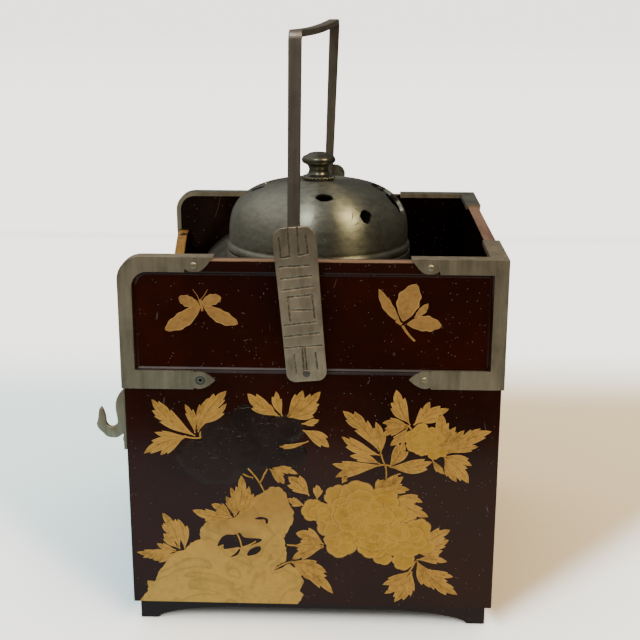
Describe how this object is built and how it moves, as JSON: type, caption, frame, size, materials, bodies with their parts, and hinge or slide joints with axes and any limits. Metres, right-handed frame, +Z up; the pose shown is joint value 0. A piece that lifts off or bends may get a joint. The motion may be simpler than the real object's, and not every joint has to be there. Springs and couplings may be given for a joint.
{
  "type": "tobacco box",
  "caption": "Square lacquered tobacco box with metal corner mounts, tall swinging bail handle, pierced domed brazier, ash pot, pipe hooks and two end drawers.",
  "frame": {"origin": "on the floor, under the centre of the object's bounding box", "axes": "+Z up; the end with the drawers and pipe hooks faces -X; the handle turns about an axis along Y"},
  "size_m": [0.198, 0.2032, 0.295],
  "materials": {
    "brown_lacquer": "glossy lacquer",
    "gold_lacquer": "worn gold lacquer",
    "black_lacquer": "satin lacquer",
    "drawer_wood": "planed",
    "grey_metal": "grey patina",
    "brazier_metal": "grey patina",
    "ash_pot_metal": "dark patina"
  },
  "bodies": {
    "case": {"side_board_near": "brown_lacquer", "side_board_far": "brown_lacquer", "rear_board": "brown_lacquer", "front_scooped_board": "gold_lacquer", "tray_floor": "black_lacquer", "drawer_shelf": "black_lacquer", "bottom_board": "black_lacquer", "base_rail_front": "black_lacquer", "base_rail_rear": "black_lacquer", "base_rail_near": "black_lacquer", "base_rail_far": "black_lacquer", "corner_mount_front_near": "grey_metal", "corner_mount_rear_near": "grey_metal", "corner_mount_front_far": "grey_metal", "corner_mount_rear_far": "grey_metal", "mount_rivet_front_top_near": "grey_metal", "mount_rivet_rear_top_near": "grey_metal", "mount_rivet_rear_low_near": "grey_metal", "mount_rivet_front_top_far": "grey_metal", "mount_rivet_front_low_far": "grey_metal", "mount_rivet_rear_top_far": "grey_metal", "mount_rivet_rear_low_far": "grey_metal", "pivot_pin_near": "grey_metal", "pivot_pin_far": "grey_metal", "pivot_washer_near": "grey_metal", "pivot_washer_far": "grey_metal", "pipe_hook_near": "grey_metal", "pipe_hook_far": "grey_metal", "hook_plate_near": "grey_metal", "hook_plate_far": "grey_metal", "hook_nail_near": "grey_metal", "hook_nail_far": "grey_metal"},
    "handle": {"handle_bail": "grey_metal", "handle_strap_near": "grey_metal", "handle_strap_far": "grey_metal"},
    "lower_drawer": {"lower_drawer_front": "brown_lacquer", "lower_drawer_side_near": "drawer_wood", "lower_drawer_side_far": "drawer_wood", "lower_drawer_back": "drawer_wood", "lower_drawer_bottom": "drawer_wood", "lower_drawer_rosette": "grey_metal", "lower_drawer_pull": "grey_metal"},
    "upper_drawer": {"upper_drawer_front": "brown_lacquer", "upper_drawer_side_near": "drawer_wood", "upper_drawer_side_far": "drawer_wood", "upper_drawer_back": "drawer_wood", "upper_drawer_bottom": "drawer_wood", "upper_drawer_rosette": "grey_metal", "upper_drawer_pull": "grey_metal"},
    "brazier": {"brazier_bowl": "brazier_metal"},
    "brazier_cover": {"brazier_lid": "brazier_metal", "brazier_lid_knob": "brazier_metal"},
    "ash_vessel": {"ash_pot": "ash_pot_metal"},
    "ash_cover": {"ash_pot_lid": "ash_pot_metal", "ash_pot_lid_knob": "ash_pot_metal"}
  },
  "joints": [
    {"name": "handle_swing", "type": "hinge", "parent": "case", "child": "handle", "pos_m": [0.00462, 0, 0.1369], "axis": [0, 1, 0], "range_deg": [-90, 90]},
    {"name": "lower_drawer_slide", "type": "slide", "parent": "case", "child": "lower_drawer", "axis": [-1, 0, 0], "range_m": [0, 0.12]},
    {"name": "upper_drawer_slide", "type": "slide", "parent": "case", "child": "upper_drawer", "axis": [-1, 0, 0], "range_m": [0, 0.12]},
    {"name": "brazier_lift", "type": "slide", "parent": "case", "child": "brazier", "axis": [0, 0, 1], "range_m": [0, 0.03]},
    {"name": "brazier_lid_lift", "type": "slide", "parent": "brazier", "child": "brazier_cover", "axis": [0, 0, 1], "range_m": [0, 0.025]},
    {"name": "ash_pot_lift", "type": "slide", "parent": "case", "child": "ash_vessel", "axis": [0, 0, 1], "range_m": [0, 0.05]},
    {"name": "ash_pot_lid_lift", "type": "slide", "parent": "ash_vessel", "child": "ash_cover", "axis": [0, 0, 1], "range_m": [0, 0.03]}
  ]
}
